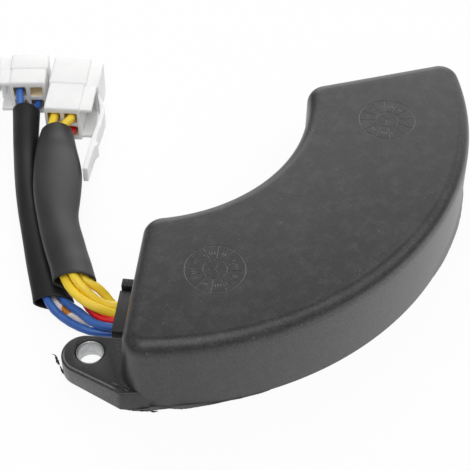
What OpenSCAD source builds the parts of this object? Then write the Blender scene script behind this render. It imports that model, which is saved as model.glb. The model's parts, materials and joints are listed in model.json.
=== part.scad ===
// Automatic voltage regulator of a portable generator set.
// A crescent housing of moulded plastic, filled with potting compound over its circuit board,
// with two bushed ears for the bolts and seven leads that end in two latching plugs.
// Millimetres, +Z up. The housing stands on its open side, centred on the origin.

/* [Housing] */
// Radius of the outer curved wall
outer_radius = 75; // [66:0.5:90]
// Radius of the inner curved wall that clears the shaft
inner_radius = 39; // [33:0.5:46]
// Width of the crescent at its middle
body_width = 40; // [36:0.5:48]
// Half of the angle that the crescent spans
half_angle = 55.5; // [52:0.5:60]
// How far each end wall lies inside its radial line
end_setback = 2.3; // [1:0.1:4]
// Height from the mounting face to the top
height = 20; // [19:0.5:26]
// Thickness of the moulded wall
wall = 2.2; // [1.8:0.1:2.6]
// Rounding of the upright edges
corner_radius = 5; // [4:0.25:7]
// Rounding of the top edge
top_rounding = 3.4; // [1.5:0.1:4]
// Draft of the upright walls in degrees
draft = 1; // [0:0.25:1.5]

/* [Ears] */
// Distance between the two bolt centres
bolt_spacing = 113; // [110:0.5:118]
// Distance of a bolt centre from the end wall
hole_offset = 8.2; // [7.5:0.1:9.5]
// Radius of the ear's round tip
ear_radius = 5.2; // [5:0.1:5.8]
// Thickness of an ear
ear_thickness = 5; // [4:0.25:7]
// Bore of the steel bush
bush_bore = 5.5; // [4.5:0.1:6]
// Wall of the steel bush
bush_wall = 0.6; // [0.4:0.05:0.8]
// How far the bush stays below the top of the ear
bush_recess = 0.5; // [0.2:0.1:1]

/* [Wire outlet] */
// Width of the outlet in the end wall
outlet_width = 11.8; // [11.8:0.1:13]
// Height of the outlet roof over the mounting face
outlet_height = 5.2; // [5.2:0.1:6.5]
// Thickness of the roof and of the side legs
outlet_wall = 1; // [0.8:0.1:1.2]
// How far the roof reaches out of the end wall
outlet_reach = 4.5; // [3:0.1:4.6]
// Height of the small tab beside the outlet
tab_height = 6.2; // [5:0.1:7]

/* [Leads] */
// Diameter of the yellow leads
yellow_diameter = 2.1; // [1.7:0.1:2.1]
// Diameter of the blue leads
blue_diameter = 1.9; // [1.6:0.1:1.9]
// Diameter of the red lead and of the white lead
thin_diameter = 1.7; // [1.5:0.1:1.7]
// Wall of the two soft sleeves
sleeve_wall = 0.5; // [0.4:0.05:0.6]

/* [Plugs] */
// Distance between the contacts of a plug
contact_pitch = 4.2; // [4:0.05:4.4]
// Square opening of each contact chamber
chamber_size = 3.2; // [3:0.05:3.4]
// Side wall of a plug
plug_wall = 0.8; // [0.7:0.05:1]
// Floor and roof of a plug
plug_floor = 1.6; // [1.3:0.05:1.8]
// Length of the front plug
front_plug_length = 19.5; // [17:0.5:21]
// Length of the rear plug
rear_plug_length = 11; // [10.5:0.5:14]

/* [Inside] */
// Height of the board's underside over the mounting face
board_height = 4; // [3:0.25:4.5]
// Thickness of the circuit board
board_thickness = 1.6; // [1:0.2:2]
// How far the potting compound stays inside the mounting face
potting_recess = 0.4; // [0.2:0.1:1]
// Room between the cavity ceiling and the tallest component
ceiling_room = 1; // [0.5:0.1:1.5]

/* [View] */
// Which piece is shown

/* [Hidden] */
// Small extra depth of a cut past a face
past = 0.5;
// Smoothness of true circles
$fn = 64;
// Steps along the outer and the inner curved wall
arc_steps = 30;
// Steps round one upright edge
corner_steps = 7;
// Steps of the top rounding
round_steps = 5;
// Rounding inside the cavity ceiling
cavity_rounding = 1.2;
// Upright edges stay rounder than the wall and the top rounding need
edge_r = max(corner_radius, top_rounding + past, wall + cavity_rounding + past);
// Upright position of the inner circle in the outer circle's own frame
inner_shift = body_width - outer_radius + inner_radius;
// Inset of the wall for each millimetre of height
draft_rate = tan(draft);

function polar(r, a) = [r * cos(a), r * sin(a)];
function dir(v) = v / norm(v);
function mirrored(p) = [-p[0], p[1]];

// Directions of the left end wall: along it, and straight out of it
end_along = polar(1, -90 - half_angle);
end_out = [end_along[1], -end_along[0]];
corner_depth = end_setback + edge_r;
corner_reach = sqrt(pow(outer_radius - edge_r, 2) - pow(corner_depth, 2));
outer_corner = corner_reach * end_along - corner_depth * end_out;
shift_along = end_along[1] * inner_shift;
shift_out = end_out[1] * inner_shift;
shift_rest = pow(corner_depth, 2) + 2 * corner_depth * shift_out + pow(inner_shift, 2);
inner_reach = shift_along
    + sqrt(pow(shift_along, 2) - shift_rest + pow(inner_radius + edge_r, 2));
inner_corner = inner_reach * end_along - corner_depth * end_out;
// The housing is centred front to back on the origin
arc_y = (outer_radius - inner_corner[1] - edge_r) / 2;
outer_start = 360 + atan2(outer_corner[1], outer_corner[0]);
inner_start = atan2(inner_shift - inner_corner[1], -inner_corner[0]);
end_angle = 180 - half_angle;

function sweep(a0, a1, steps) = [for (i = [0 : steps - 1]) a0 + (a1 - a0) * i / steps];
function corner_edge(centre, a0, a1) = [for (a = sweep(a0, a1, corner_steps))
    [centre + polar(edge_r, a), polar(1, a)]];

// Outline of the crescent as points with their outward directions, counter-clockwise
OUTLINE = concat(
    [for (a = sweep(outer_start, 540 - outer_start, arc_steps))
        [polar(outer_radius, a), polar(1, a)]],
    corner_edge(mirrored(outer_corner), 180 - outer_start, half_angle),
    corner_edge(mirrored(inner_corner), half_angle, 180 - inner_start),
    [for (a = sweep(180 - inner_start, inner_start, arc_steps))
        [[0, inner_shift] - polar(inner_radius, a), polar(1, a)]],
    corner_edge(inner_corner, inner_start, end_angle),
    corner_edge(outer_corner, end_angle, outer_start));

// First point of the left outer edge, where the strips of the caps begin
cap_start = 2 * arc_steps + 3 * corner_steps;

function ring(inset, z) = [for (p = OUTLINE)
    [p[0][0] - inset * p[1][0], p[0][1] - inset * p[1][1] + arc_y, z]];

// Cap of one ring as a strip of four-sided faces, from the point called start to the far side
function cap(n, start) = [for (k = [0 : n / 2 - 2])
    [(start + k) % n, (start + k + 1) % n, (start + n - 2 - k) % n, (start + n - 1 - k) % n]];
function flipped(face) = [face[3], face[2], face[1], face[0]];
// Skin over a row of rings, closed by a cap at each end
module loft(rings, start = 0) {
    n = len(rings[0]);
    last = len(rings) - 1;
    polyhedron(
        points = [for (r = rings) each r],
        faces = concat(
            cap(n, start),
            [for (k = [0 : last - 1]) for (i = [0 : n - 1])
                [k * n + i, (k + 1) * n + i, (k + 1) * n + (i + 1) % n, k * n + (i + 1) % n]],
            [for (face = cap(n, start)) flipped([for (i = face) last * n + i])]),
        convexity = 8);
}

// Skin over rings that come back to the first one, for a hollow sleeve
module tube_skin(rings) {
    n = len(rings[0]);
    m = len(rings);
    polyhedron(
        points = [for (r = rings) each r],
        faces = [for (k = [0 : m - 1]) for (i = [0 : n - 1])
            [k * n + i, ((k + 1) % m) * n + i, ((k + 1) % m) * n + (i + 1) % n, k * n + (i + 1) % n]],
        convexity = 8);
}

// Skin of air left between the compound and the wall
potting_fit = 0.02;
// Rings of the cavity from its ceiling down to a level
ceiling = height - wall;
cavity_side = ceiling - cavity_rounding;
function cavity_rings(floor_z, fit) = concat(
    [for (a = [90, 60, 30, 0]) ring(
        wall + fit + draft_rate * cavity_side + cavity_rounding * (1 - cos(a)),
        cavity_side - fit + cavity_rounding * sin(a))],
    [ring(wall + fit + draft_rate * floor_z, floor_z)]);
round_base = height - top_rounding;
SHELL_RINGS = concat(
    cavity_rings(0, 0),
    [ring(0, 0)],
    [for (k = [0 : round_steps]) ring(
        draft_rate * round_base + top_rounding * (1 - cos(90 * k / round_steps)),
        round_base + top_rounding * sin(90 * k / round_steps))]);

// Frame of the left end wall: x runs along the wall, -y points out of it
module at_left_end() {
    translate([0, arc_y, 0]) rotate(-90 - half_angle) translate([0, end_setback, 0]) children();
}
module at_both_ends() {
    at_left_end() children();
    mirror([1, 0, 0]) at_left_end() children();
}
function end_point(along, out, z) = concat(
    along * end_along + (out - end_setback) * end_out + [0, arc_y], [z]);

// Ears
hole_along = (bolt_spacing / 2 + end_out[0] * (hole_offset - end_setback)) / -end_along[0];
bush_r = bush_bore / 2 + bush_wall;
ear_r = max(ear_radius, bush_r + 1.5);
// The tip is round about a point a little farther out than the bolt
tip_shift = [0.95, 0.9];
tip_along = hole_along + tip_shift[0];
tip_offset = hole_offset + tip_shift[1];
// The root stands a little proud of the outer wall and fades into it
root_depth = 6;
root_proud = 0.15;
root_fade = 0.45;
root_steps = 3;
function root_at(i) = let (y = root_depth * i / root_steps)
    [sqrt(pow(outer_radius + root_proud - root_fade * i / root_steps, 2) - pow(end_setback + y, 2)), y];
root_line = [root_at(0)[0] - tip_along, tip_offset];
ear_turn = atan2(root_line[1], root_line[0]) - acos(ear_r / norm(root_line));
ear_sink = 0.7 * wall;
ear_steps = 20;
root_inner = sqrt(pow(outer_radius - 0.5 * wall, 2) - pow(end_setback + root_depth, 2));
module ear() {
    linear_extrude(ear_thickness) polygon(concat(
        [[tip_along - ear_r, ear_sink]],
        [for (i = [0 : ear_steps])
            [tip_along, -tip_offset] + polar(ear_r, 180 + (180 + ear_turn) * i / ear_steps)],
        [for (i = [0 : root_steps]) root_at(i)],
        [[root_inner, root_depth], [root_inner - 0.3 * wall, ear_sink]]));
}
module ear_bore(r) {
    translate([hole_along, -hole_offset, -past]) cylinder(r = r, h = ear_thickness + 2 * past);
}

// Date dials, two plain rings cut into the top face
dial_radius = 6.7;
dial_angle = 34.3;
dial_depth = 0.25;
dial_line = 0.45;
dial_place = (outer_radius + outer_radius - body_width) / 2;
module dial_groove(r) {
    difference() {
        cylinder(r = r, h = dial_depth + past);
        translate([0, 0, -past]) cylinder(r = r - dial_line, h = dial_depth + 3 * past);
    }
}
module dial(side) {
    translate([0, arc_y, height - dial_depth]) rotate(side * dial_angle)
        translate([0, -dial_place, 0]) {
            dial_groove(dial_radius);
            dial_groove(dial_radius * 0.4);
        }
}

// Wire outlet, kept clear of the ear, and the small tab on its other side
outlet_gap = 5.7;
outlet_end = hole_along - outlet_gap;
outlet_start = outlet_end - outlet_width;
bridge_width = 0.6;
bridge_height = 3;
tab_width = 2.2;
tab_reach = 4.3;
module outlet_block(from, width, z0, z1, inner, outer) {
    translate([from, -outer, z0]) cube([width, outer - inner, z1 - z0]);
}

module housing() {
    color("#3b3c3e") difference() {
        union() {
            loft(SHELL_RINGS, cap_start);
            at_both_ends() ear();
        }
        at_both_ends() ear_bore(bush_r);
        at_left_end() outlet_block(outlet_start, outlet_width, -past, outlet_height,
            -wall - past, past);
        dial(-1);
        dial(1);
    }
}

module mounting_bushes() {
    color("#c9ccd0") at_both_ends() translate([hole_along, -hole_offset, 0]) difference() {
        cylinder(r = bush_r, h = ear_thickness - bush_recess);
        translate([0, 0, -past]) cylinder(r = bush_bore / 2, h = ear_thickness + past);
    }
}

module wire_guide() {
    color("#232425") at_left_end() {
        outlet_block(outlet_start, outlet_width, outlet_height - outlet_wall, outlet_height,
            -wall, outlet_reach);
        outlet_block(outlet_start, outlet_wall, 0, outlet_height, -wall, outlet_reach);
        outlet_block(outlet_end - outlet_wall, outlet_wall, 0, outlet_height, -wall, outlet_reach);
        outlet_block(outlet_start - bridge_width, bridge_width, 0, bridge_height, 0, tab_reach);
        outlet_block(outlet_start - bridge_width - tab_width, tab_width, 0, tab_height, 0, tab_reach);
    }
}

// Circuit board and the components that stand on it
board_gap = 1;
board_top = board_height + board_thickness;
part_height = ceiling - ceiling_room - board_top;
module on_board(place) {
    translate([0, arc_y, board_top]) rotate(place[0]) translate([0, -place[1], 0]) children();
}
module block(size) {
    translate([-size[0] / 2, -size[1] / 2, 0]) cube(size);
}
module lying_rod(d, length) {
    translate([-length / 2, 0, d / 2]) rotate([0, 90, 0]) cylinder(d = d, h = length);
}
// Curved edges of the room inside the shell, at its middle
near = outer_radius - body_width + wall;
far = outer_radius - wall;
// Sizes of the components, and their places as an angle and a radius
sink_size = [22, 1.6, part_height];
sink_foot = 6;
sink_place = [14, far - 9];
transistor_size = [10.2, 4.4, 9];
screw_height = 5;
screw_d = 3;
screw_head_d = 5.5;
screw_head_h = 1.6;
bridge_size = [14, 5, part_height - 1];
bridge_place = [-14, near + 8];
electrolytic_d = 13;
electrolytic_place = [-11, far - 13];
film_size = [16, 8, part_height];
film_place = [-34, far - 15];
chip_size = [9.6, 6.4, 3.4];
chip_place = [-33, near + 8];
power_resistor_size = [5, 14];
POWER_RESISTOR_PLACES = [[36, near + 10], [36, far - 15]];
diode_size = [3, 6.5];
DIODE_PLACES = [[16, near + 6], [16, near + 12], [36, far - 7]];
signal_resistor_size = [2.3, 6.3];
SIGNAL_RESISTOR_PLACES = [[4, near + 6], [4, near + 11], [-44, near + 11]];

module screw_shape() {
    reach = transistor_size[1] + sink_size[1];
    translate([0, -sink_size[1] / 2, screw_height]) rotate([-90, 0, 0]) {
        cylinder(d = screw_d, h = reach);
        translate([0, 0, reach]) cylinder(d = screw_head_d, h = screw_head_h);
    }
}
module rods(places, size) {
    for (place = places) on_board(place) lying_rod(size[0], size[1]);
}

module circuit_board() {
    color("#3f6b45") translate([0, 0, board_height]) linear_extrude(board_thickness)
        polygon([for (p = ring(wall + board_gap, 0)) [p[0], p[1]]]);
}
module heat_sink() {
    color("#b8bcc2") on_board(sink_place) difference() {
        union() {
            block(sink_size);
            translate([0, -sink_foot / 2, 0]) block([sink_size[0], sink_foot, sink_size[1]]);
        }
        screw_shape();
    }
}
module power_transistor() {
    color("#1d1d1f") on_board(sink_place) difference() {
        translate([0, (sink_size[1] + transistor_size[1]) / 2, 0]) block(transistor_size);
        screw_shape();
    }
}
module transistor_screw() {
    color("#c9ccd0") on_board(sink_place) screw_shape();
}
module bridge_rectifier() {
    color("#1b1b1d") on_board(bridge_place) block(bridge_size);
}
module electrolytic_capacitor() {
    color("#2b3550") on_board(electrolytic_place) cylinder(d = electrolytic_d, h = part_height);
}
module film_capacitor() {
    color("#b5652a") on_board(film_place) block(film_size);
}
module control_chip() {
    color("#1f2021") on_board(chip_place) block(chip_size);
}
module power_resistors() {
    color("#8fa3ad") rods(POWER_RESISTOR_PLACES, power_resistor_size);
}
module rectifier_diodes() {
    color("#242426") rods(DIODE_PLACES, diode_size);
}
module signal_resistors() {
    color("#c7a878") rods(SIGNAL_RESISTOR_PLACES, signal_resistor_size);
}
module potting() {
    color("#1a1a1b") difference() {
        loft(cavity_rings(potting_recess, potting_fit), cap_start);
        circuit_board();
        heat_sink();
        power_transistor();
        transistor_screw();
        bridge_rectifier();
        electrolytic_capacitor();
        film_capacitor();
        control_chip();
        power_resistors();
        rectifier_diodes();
        signal_resistors();
    }
}

// Corner of the outlet at the sizes above, for which the routes below were chosen by hand.
// The leads, sleeves and plugs move with that corner when the housing's sizes change.
lead_home = [-47.151, 14.262];
lead_move = [for (c = [0, 1]) end_point(outlet_end, 0, 0)[c] - lead_home[c]];
function moved(p) = [p[0] + lead_move[0], p[1] + lead_move[1], p[2]];
// Sleeves: centre, half width and half height of each cross-section, from the housing to the plug
FRONT_STATIONS = [
    [[-45.65, 32.8, 7.2], 4.5, 2.9],
    [[-40.3, 41.4, 6.9], 4.7, 2.8],
    [[-34.9, 49.25, 6.7], 4.75, 2.8],
    [[-28.7, 56, 6.4], 5.65, 2.8],
    [[-24, 60.75, 6.1], 5.85, 2.8],
    [[-17, 68.5, 5.6], 4.9, 3],
    [[-12.65, 72.7, 5.3], 3.9, 3.4]];
REAR_STATIONS = [
    [[-50.65, 35.1, 2.5], 4.3, 2.4],
    [[-45.55, 43.5, 2.5], 3.85, 2.4],
    [[-38.45, 53.85, 2.5], 3.3, 2.4],
    [[-30.55, 64.5, 2.6], 3.1, 2.5],
    [[-20.75, 75.7, 3], 3.1, 2.8],
    [[-11.55, 85.05, 4], 3.5, 3.3]];

function heading(line, i) = let (n = len(line) - 1)
    dir(i == 0 ? line[1] - line[0]
        : i == n ? line[n] - line[n - 1]
        : dir(line[i] - line[i - 1]) + dir(line[i + 1] - line[i]));
function to_right(d) = dir(cross(d, [0, 0, 1]));
function middle(stations) = [for (s = stations) moved(s[0])];

sleeve_sides = 12;
function sleeve_ring(stations, i, less) = let (
        s = stations[i],
        side = to_right(heading(middle(stations), i)))
    [for (k = [0 : sleeve_sides - 1]) let (a = 360 * k / sleeve_sides)
        moved(s[0]) + (s[2] - less) * cos(a) * [0, 0, 1] + (s[1] - less) * sin(a) * side];
function sleeve_rings(stations) = let (n = len(stations) - 1) concat(
    [for (i = [0 : n]) sleeve_ring(stations, i, 0)],
    [for (i = [0 : n]) sleeve_ring(stations, n - i, sleeve_wall)]);

module front_sleeve() {
    color("#2a2a2c") tube_skin(sleeve_rings(FRONT_STATIONS));
}
module rear_sleeve() {
    color("#2a2a2c") tube_skin(sleeve_rings(REAR_STATIONS));
}

// Plugs: middle of the wire side, direction, length and side of the latch
FRONT_PLUG = [[-9.8, 73.4] + lead_move, 36, front_plug_length, -1];
REAR_PLUG = [[-8.6, 87] + lead_move, 41, rear_plug_length, 1];
plug_half = contact_pitch / 2 + chamber_size / 2 + plug_wall;
plug_middle = contact_pitch / 2 + chamber_size / 2 + plug_floor;
plug_top = 2 * plug_middle;
wire_depth = 2;
function plug_point(plug, depth, column, row) = concat(
    plug[0] + polar(depth, plug[1]) + polar(column * contact_pitch / 2, plug[1] + 90),
    [plug_middle + row * contact_pitch / 2]);
module at_plug(plug) {
    translate([plug[0][0], plug[0][1], 0]) rotate(plug[1]) children();
}
module at_contacts(places) {
    for (p = places)
        translate([0, p[0] * contact_pitch / 2, plug_middle + p[1] * contact_pitch / 2]) children();
}
ALL_CONTACTS = [[1, 1], [-1, 1], [1, -1], [-1, -1]];
FRONT_CONTACTS = ALL_CONTACTS;
REAR_CONTACTS = [[1, 1], [1, -1], [-1, -1]];
plug_bevel = 0.5;
// Rails beside the latch, and the wider hood that they become towards the mating side
rail_reach = 3.4;
rail_height = 1.2;
hood_share = 0.48;
hood_step = 0.3;
hood_edge = 7.9;
// Sprung latch arm: where it bows out, where its hook is, and where its tail ends
arm_thickness = 1.2;
arm_room = 1.4;
bow = [2.6, 9.1];
dip = [-6, 8.4];
hook = [-8.6, 10.3];
tail = [-17.5, 7.8];
module plug_section(grow, length) {
    side = plug_half + grow;
    edge = side - plug_bevel;
    top = plug_top + grow;
    rotate([90, 0, 90]) linear_extrude(length) polygon([
        [-side, plug_bevel], [-edge, 0], [edge, 0], [side, plug_bevel],
        [side, top - plug_bevel], [edge, top], [-edge, top], [-side, top - plug_bevel]]);
}
module plug_body(plug) {
    length = plug[2];
    edge = plug_half - plug_bevel;
    latch_side = plug[3] < 0 ? 1 : 0;
    hood_start = hood_share * length;
    hood_length = length - past - hood_start;
    difference() {
        union() {
            plug_section(0, length);
            translate([hood_start, 0, 0]) plug_section(hood_step, length - hood_start);
            mirror([0, latch_side, 0]) {
                for (z = [plug_bevel, plug_top - plug_bevel - rail_height]) {
                    translate([past, edge, z]) cube([hood_start, rail_reach, rail_height]);
                    translate([hood_start, edge, z])
                        cube([hood_length, hood_edge - edge, rail_height]);
                }
                translate([hood_start, hood_edge - arm_thickness, plug_bevel])
                    cube([hood_length, arm_thickness, plug_top - 2 * plug_bevel]);
            }
        }
        at_contacts(ALL_CONTACTS) translate([-past, -chamber_size / 2, -chamber_size / 2])
            cube([length + 2 * past, chamber_size, chamber_size]);
    }
    mirror([0, latch_side, 0])
        translate([0, 0, plug_bevel + rail_height + arm_room])
        linear_extrude(plug_top - 2 * (plug_bevel + rail_height + arm_room)) polygon([
            [hood_start + past, hood_edge - arm_thickness / 2], [hood_start + past, hood_edge],
            bow + [0, arm_thickness], dip + [0, arm_thickness],
            [hook[0] + arm_thickness, dip[1] + arm_thickness], hook,
            [hook[0] - arm_thickness, dip[1] + arm_thickness],
            tail + [0, arm_thickness], tail, dip, bow]);
}
module front_plug() {
    color("#e8e6dc") at_plug(FRONT_PLUG) plug_body(FRONT_PLUG);
}
module rear_plug() {
    color("#e8e6dc") at_plug(REAR_PLUG) plug_body(REAR_PLUG);
}

// Crimped contacts, a tight barrel on the wire and a square box for the pin
barrel_length = 3.5;
barrel_d = 2.5;
contact_fit = 0.1;
contact_wall = 0.4;
module terminal(length) {
    box = chamber_size - 2 * contact_fit;
    box_length = length - wire_depth - barrel_length - 1;
    translate([wire_depth, 0, 0]) rotate([0, 90, 0]) cylinder(d = barrel_d, h = barrel_length);
    translate([wire_depth + barrel_length, -box / 2, -box / 2]) difference() {
        cube([box_length, box, box]);
        translate([contact_wall, contact_wall, contact_wall])
            cube([box_length, box - 2 * contact_wall, box - 2 * contact_wall]);
    }
}
module front_terminals() {
    color("#c9a24b") at_plug(FRONT_PLUG) at_contacts(FRONT_CONTACTS) terminal(FRONT_PLUG[2]);
}
module rear_terminals() {
    color("#c9a24b") at_plug(REAR_PLUG) at_contacts(REAR_CONTACTS) terminal(REAR_PLUG[2]);
}

// Leads: seat in the outlet as along and height, turn points chosen by hand, seats in the sleeve
// as right and up, and the contact in the plug as column and row
lead_sides = 8;
function station_point(stations, i, seat) = let (s = stations[i])
    moved(s[0]) + seat[0] * to_right(heading(middle(stations), i)) + seat[1] * [0, 0, 1];
function lead_route(seat, turns, stations, inside, last_seat, plug, contact) = concat(
    [end_point(outlet_start + seat[0], -wall, seat[1])],
    [end_point(outlet_start + seat[0], outlet_reach + past, seat[1])],
    [for (p = turns) moved(p)],
    [for (i = [2, 3, 4]) station_point(stations, i, inside)],
    [station_point(stations, len(stations) - 1, last_seat)],
    [for (depth = [-past, wire_depth]) plug_point(plug, depth, contact[0], contact[1])]);
module lead(route, d) {
    loft([for (i = [0 : len(route) - 1]) let (
            ahead = heading(route, i),
            side = to_right(ahead),
            upward = cross(side, ahead))
        [for (k = [0 : lead_sides - 1]) let (a = 360 * k / lead_sides)
            route[i] + d / 2 * (cos(a) * upward + sin(a) * side)]]);
}
module front_lead(d, seat, turns, inside, last_seat, contact) {
    lead(lead_route(seat, turns, FRONT_STATIONS, inside, last_seat,
        FRONT_PLUG, contact), d);
}
module rear_lead(d, seat, turns, inside, last_seat, contact) {
    lead(lead_route(seat, turns, REAR_STATIONS, inside, last_seat,
        REAR_PLUG, contact), d);
}

module yellow_wire_1() {
    color("#e8c22e") front_lead(yellow_diameter, [2.1, 1.1],
        [[-42.15, 27.25, 3.4], [-43, 28.9, 5.7], [-43.9, 31.7, 7.15]],
        [2.1, -0.1], [0.9, 0.9], [-1, 1]);
}
module yellow_wire_2() {
    color("#e8c22e") front_lead(yellow_diameter, [3, 3.1],
        [[-44.6, 25.6, 3.8], [-45.8, 28.5, 6.1], [-45.7, 32.85, 8.35]],
        [0, 0.95], [-1.3, 1.2], [1, 1]);
}
module yellow_wire_3() {
    color("#e8c22e") front_lead(yellow_diameter, [5.2, 3.1],
        [[-46.95, 25.05, 5.1], [-47.95, 28.45, 6.1], [-47.25, 33.8, 6.9]],
        [-2.1, -0.1], [-1.5, -1.2], [1, -1]);
}
module red_wire() {
    color("#c81e2c") front_lead(thin_diameter, [7.2, 3],
        [[-47.2, 23.3, 2.7], [-47.35, 27.2, 3.2], [-45.5, 32.7, 5.85]],
        [0, -1.25], [1.1, -1.1], [-1, -1]);
}
module blue_wire_1() {
    color("#3c6fbf") rear_lead(blue_diameter, [9.1, 3.1],
        [[-49.3, 23.55, 2.9], [-49.15, 28.4, 2.85], [-48.85, 34.05, 2.85]],
        [1.15, 0.45], [1.3, -0.9], [-1, -1]);
}
module blue_wire_2() {
    color("#3c6fbf") rear_lead(blue_diameter, [9.2, 1.05],
        [[-50.7, 23.9, 1.3], [-52.1, 30.35, 1.65], [-51.75, 35.75, 2.95]],
        [-1.15, 0.45], [-1.3, 1.1], [1, 1]);
}
module white_wire() {
    color("#e6e2dd") rear_lead(thin_diameter, [5.6, 1],
        [[-48.9, 25.75, 0.95], [-49.55, 28.55, 0.9], [-50.25, 34.85, 1.65]],
        [0, -1], [-1.2, -1.1], [1, -1]);
}

housing();
mounting_bushes();
potting();
circuit_board();
heat_sink();
power_transistor();
transistor_screw();
bridge_rectifier();
electrolytic_capacitor();
film_capacitor();
control_chip();
power_resistors();
rectifier_diodes();
signal_resistors();
wire_guide();
yellow_wire_1();
yellow_wire_2();
yellow_wire_3();
red_wire();
blue_wire_1();
blue_wire_2();
white_wire();
front_sleeve();
rear_sleeve();
front_plug();
rear_plug();
front_terminals();
rear_terminals();
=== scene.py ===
import json
import math

import bmesh
import bpy
import numpy as np
from mathutils import Matrix, Vector


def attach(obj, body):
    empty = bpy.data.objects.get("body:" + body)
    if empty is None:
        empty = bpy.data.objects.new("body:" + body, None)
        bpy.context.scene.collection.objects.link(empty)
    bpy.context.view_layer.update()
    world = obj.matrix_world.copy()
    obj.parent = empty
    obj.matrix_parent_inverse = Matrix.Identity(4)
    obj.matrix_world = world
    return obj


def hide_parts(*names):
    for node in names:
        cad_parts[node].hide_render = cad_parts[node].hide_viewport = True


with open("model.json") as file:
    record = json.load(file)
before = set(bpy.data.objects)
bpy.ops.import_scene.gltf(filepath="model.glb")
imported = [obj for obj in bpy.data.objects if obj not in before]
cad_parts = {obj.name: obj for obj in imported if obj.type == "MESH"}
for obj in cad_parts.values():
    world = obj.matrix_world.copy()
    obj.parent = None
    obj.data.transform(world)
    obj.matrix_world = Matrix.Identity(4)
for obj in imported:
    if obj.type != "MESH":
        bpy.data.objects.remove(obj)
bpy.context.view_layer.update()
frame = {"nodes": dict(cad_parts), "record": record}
NODE = frame["nodes"]
SCENE = bpy.context.scene
MM = 0.001
RNG = np.random.default_rng(7)


# Camera, fitted to the outline of the crescent in the photograph

CAMERA_PLACE = (-172.99, -122.12, 236.69)
CAMERA_RIGHT = (0.6495, -0.7604, 0.0026)
CAMERA_UP = (0.5580, 0.4789, 0.6777)
CAMERA_AHEAD = (0.5165, 0.4387, -0.7354)
CAMERA_LENS = 103.55
SENSOR_WIDTH = 36.0


def add_camera():
    data = bpy.data.cameras.new("camera")
    data.sensor_fit = "HORIZONTAL"
    data.sensor_width = SENSOR_WIDTH
    data.lens = CAMERA_LENS
    data.clip_start = 0.01
    data.clip_end = 20.0
    camera = bpy.data.objects.new("camera", data)
    SCENE.collection.objects.link(camera)
    back = [-c for c in CAMERA_AHEAD]
    turn = Matrix((CAMERA_RIGHT, CAMERA_UP, back)).transposed()
    camera.matrix_world = Matrix.Translation(Vector(CAMERA_PLACE) * MM) @ turn.to_4x4()
    SCENE.camera = camera


add_camera()


# Sizes of the solids, in millimetres

OUTER_R = 75.0
INNER_R = 39.0
BODY_WIDTH = 40.0
HALF_ANGLE = 55.5
SETBACK = 2.3
HEIGHT = 20.0
WALL = 2.2
EDGE_R = 5.0
TOP_ROUND = 3.4
DRAFT = math.tan(math.radians(1.0))
BOLT_SPACING = 113.0
HOLE_OFFSET = 8.2
EAR_R = 5.19
EAR_T = 5.0
TIP_SHIFT = (0.95, 0.9)
ROOT_DEPTH = 6.0
ROOT_PROUD = 0.15
ROOT_FADE = 0.45
BUSH_R = 3.35
BUSH_BORE = 2.75
BUSH_TOP = 4.5
OUTLET_WIDTH = 11.8
OUTLET_TOP = 5.2
OUTLET_WALL = 1.0
OUTLET_REACH = 4.5
OUTLET_GAP = 5.7
OUTLET_BEND = 0.5
BRIDGE_WIDTH = 0.6
BRIDGE_TOP = 3.0
TAB_WIDTH = 2.2
TAB_REACH = 4.3
TAB_TOP = 6.2
PITCH = 4.2
CHAMBER = 3.2
PLUG_WALL = 0.8
PLUG_FLOOR = 1.6
PLUG_HALF = PITCH / 2 + CHAMBER / 2 + PLUG_WALL
PLUG_MIDDLE = PITCH / 2 + CHAMBER / 2 + PLUG_FLOOR
WIRE_DEPTH = 2.0


def polar(r, degrees):
    a = math.radians(degrees)
    return np.array([r * math.cos(a), r * math.sin(a)])


ALONG = polar(1, -90 - HALF_ANGLE)
OUT = np.array([ALONG[1], -ALONG[0]])
DEPTH = SETBACK + EDGE_R
INNER_SHIFT = BODY_WIDTH - OUTER_R + INNER_R


def inner_corner():
    """Centre of the rounding between the left end wall and the inner wall."""
    half = ALONG[1] * INNER_SHIFT
    rest = DEPTH ** 2 + 2 * DEPTH * OUT[1] * INNER_SHIFT + INNER_SHIFT ** 2
    return (half + math.sqrt(half ** 2 - rest + (INNER_R + EDGE_R) ** 2)) * ALONG - DEPTH * OUT


OUTER_CORNER = math.sqrt((OUTER_R - EDGE_R) ** 2 - DEPTH ** 2) * ALONG - DEPTH * OUT
INNER_CORNER = inner_corner()
ARC_Y = (OUTER_R - INNER_CORNER[1] - EDGE_R) / 2
OUTER_START = 360 + math.degrees(math.atan2(OUTER_CORNER[1], OUTER_CORNER[0]))
INNER_START = math.degrees(math.atan2(INNER_SHIFT - INNER_CORNER[1], -INNER_CORNER[0]))
END_ANGLE = 180 - HALF_ANGLE
HOLE_ALONG = (BOLT_SPACING / 2 + OUT[0] * (HOLE_OFFSET - SETBACK)) / -ALONG[0]
OUTLET_END = HOLE_ALONG - OUTLET_GAP
OUTLET_START = OUTLET_END - OUTLET_WIDTH


def end_point(along, out, z):
    """A point from its distances along the left end wall, out of it and up."""
    p = along * ALONG + (out - SETBACK) * OUT
    return np.array([p[0], p[1] + ARC_Y, z])


def turned(degrees):
    return Matrix.Rotation(math.radians(degrees), 4, "Z")


def left_end():
    """Frame of the left end wall: x along it and outwards, y into the body."""
    return (Matrix.Translation((0, ARC_Y * MM, 0)) @ turned(-90 - HALF_ANGLE)
            @ Matrix.Translation((0, SETBACK * MM, 0)))


# Mesh helpers

def link(obj):
    SCENE.collection.objects.link(obj)
    return obj


def finish_shading(mesh, smooth_angle):
    for poly in mesh.polygons:
        poly.use_smooth = True
    mesh.set_sharp_from_angle(angle=math.radians(smooth_angle))


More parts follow.
